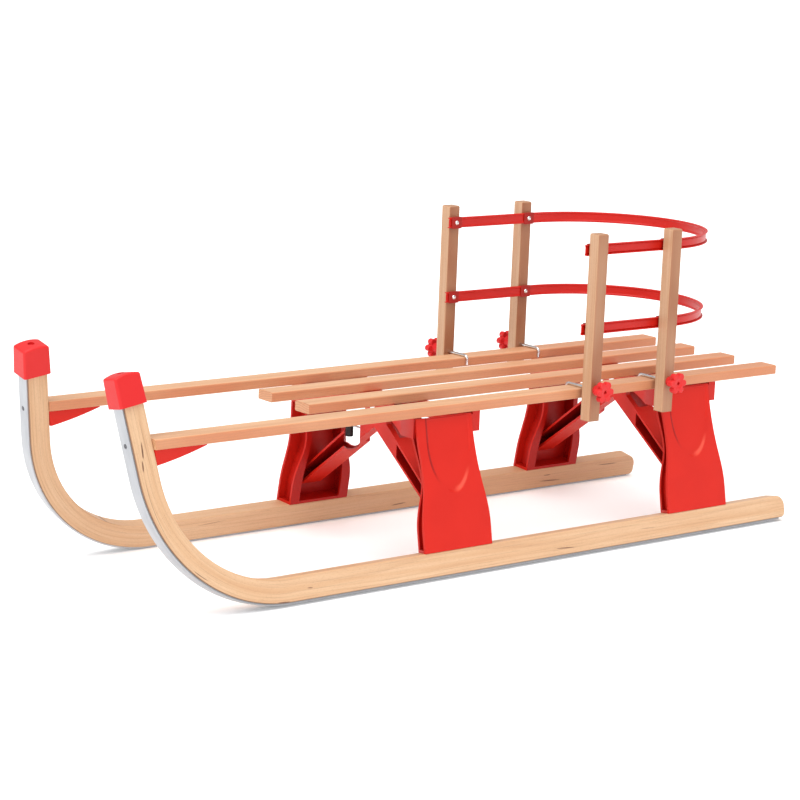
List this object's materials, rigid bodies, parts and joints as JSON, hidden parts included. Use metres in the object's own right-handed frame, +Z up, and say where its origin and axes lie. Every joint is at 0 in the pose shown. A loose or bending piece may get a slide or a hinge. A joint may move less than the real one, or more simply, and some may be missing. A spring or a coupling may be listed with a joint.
{
  "type": "sled",
  "caption": "Folding wooden sled: slatted seat on steel-shod runners with tall curved horns, moulded leg supports hinged along the middle, clamp-on backrest of posts and bent bands.",
  "frame": {"origin": "middle of the whole sled's bounding box, at ground level under the runners", "axes": "+X forwards to the horns, +Y to the sled's left, +Z up"},
  "size_m": [1.1108, 0.376, 0.4405],
  "materials": {
    "beech": "laminated beech, clear lacquer",
    "red_plastic": "moulded, satin",
    "cap_plastic": "moulded, smooth",
    "strip_steel": "cold rolled, drawn along its length",
    "plated_steel": "bright zinc plate",
    "red_sheet": "powder coat, semi-gloss",
    "dark_plastic": "moulded, matt"
  },
  "bodies": {
    "left_half": {"hinge_pin_front": "plated_steel", "hinge_pin_rear": "plated_steel", "horn_cap_left": "cap_plastic", "horn_gusset_left": "red_plastic", "inner_slat_left": "beech", "outer_slat_left": "beech", "runner_left": "beech", "runner_strip_left": "strip_steel", "support_front_left": "red_plastic", "support_rear_left": "red_plastic"},
    "right_half": {"horn_cap_right": "cap_plastic", "horn_gusset_right": "red_plastic", "inner_slat_right": "beech", "outer_slat_right": "beech", "runner_right": "beech", "runner_strip_right": "strip_steel", "support_front_right": "red_plastic", "support_rear_right": "red_plastic", "latch_bail": "plated_steel", "latch_grip": "dark_plastic"},
    "backrest": {"band_lower": "red_sheet", "band_upper": "red_sheet", "clamp_hook_front_left": "plated_steel", "clamp_hook_front_right": "plated_steel", "clamp_hook_rear_left": "plated_steel", "clamp_hook_rear_right": "plated_steel", "post_front_left": "beech", "post_front_right": "beech", "post_rear_left": "beech", "post_rear_right": "beech", "star_knob_front_left": "cap_plastic", "star_knob_front_right": "cap_plastic", "star_knob_rear_left": "cap_plastic", "star_knob_rear_right": "cap_plastic"}
  },
  "joints": [
    {"name": "fold", "type": "hinge", "parent": "left_half", "child": "right_half", "pos_m": [0, 0, 0.201], "axis": [1, 0, 0], "range_deg": [0, 72]},
    {"name": "backrest_lift", "type": "slide", "parent": "left_half", "child": "backrest", "axis": [0, 0, 1], "range_m": [0, 0.1]}
  ]
}
